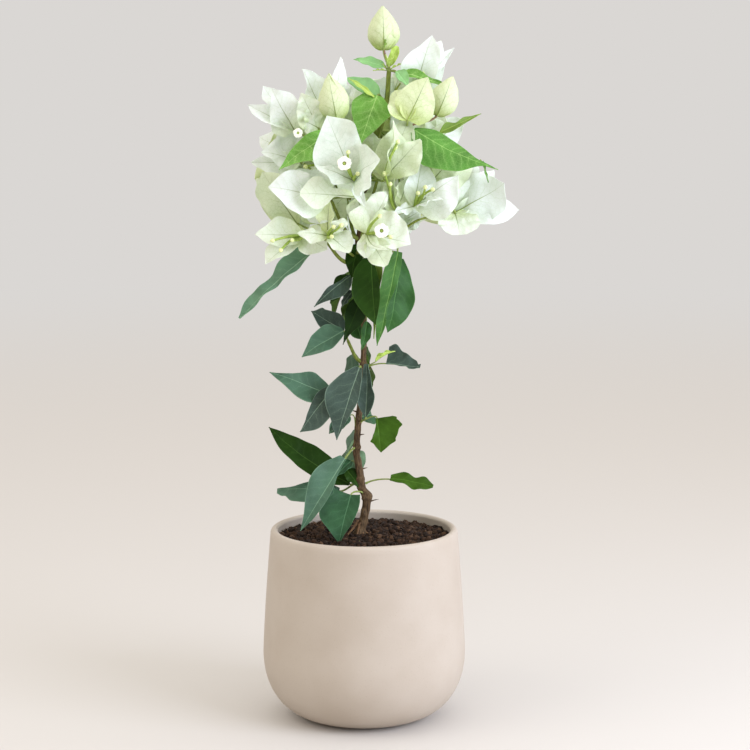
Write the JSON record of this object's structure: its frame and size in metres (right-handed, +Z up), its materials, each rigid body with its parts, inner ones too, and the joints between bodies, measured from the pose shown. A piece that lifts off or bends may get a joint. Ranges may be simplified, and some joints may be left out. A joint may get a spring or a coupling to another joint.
{
  "type": "potted bougainvillea bush",
  "caption": "Young white bougainvillea grown upright on one slender stem, with a full crown of papery bracts, in a plain rounded ceramic pot.",
  "frame": {"origin": "the middle of the pot's flat underside", "axes": "+Z up along the pot's axis to the top of the crown; -Y is the front, which the picture looks at; +X is to the right of that view"},
  "size_m": [0.1859, 0.1725, 0.488],
  "materials": {
    "pot": "matte",
    "soil": "matte",
    "bark": "matte",
    "leaf": "satin",
    "bract": "matte"
  },
  "bodies": {
    "root": {"pot": "pot", "soil": "soil", "stem": "bark", "shoot_left": "bark", "bough_low_left": "bark", "bough_low_front": "bark", "bough_left": "bark", "bough_right": "bark", "bough_front": "bark", "bough_high_left": "bark", "bough_high_right": "bark", "bough_back_low": "bark", "bough_back_right": "bark", "bough_back_left": "bark", "bough_back_high": "bark", "leaf_low_front": "leaf", "leaf_low_right": "leaf", "leaves_low_left": "leaf", "leaves_lower_left": "leaf", "leaves_lower_right": "leaf", "leaves_middle_left": "leaf", "leaves_middle_right": "leaf", "leaves_shoot": "leaf", "leaves_upper_left": "leaf", "leaves_under_crown": "leaf", "leaf_long_left": "leaf", "leaf_crown_left": "leaf", "leaves_crown_front": "leaf", "leaves_crown_right": "leaf", "leaves_top": "leaf", "leaves_back_low": "leaf", "leaves_back_middle": "leaf", "leaves_back_high": "leaf", "leaves_crown_back": "leaf", "bud_top": "bract", "bracts_low_left": "bract", "bracts_left": "bract", "bracts_low_front": "bract", "bracts_front": "bract", "bracts_right": "bract", "bracts_high_left": "bract", "bracts_high_right": "bract", "bracts_back_low": "bract", "bracts_back_right": "bract", "bracts_back_left": "bract", "bracts_back_high": "bract"}
  },
  "joints": []
}
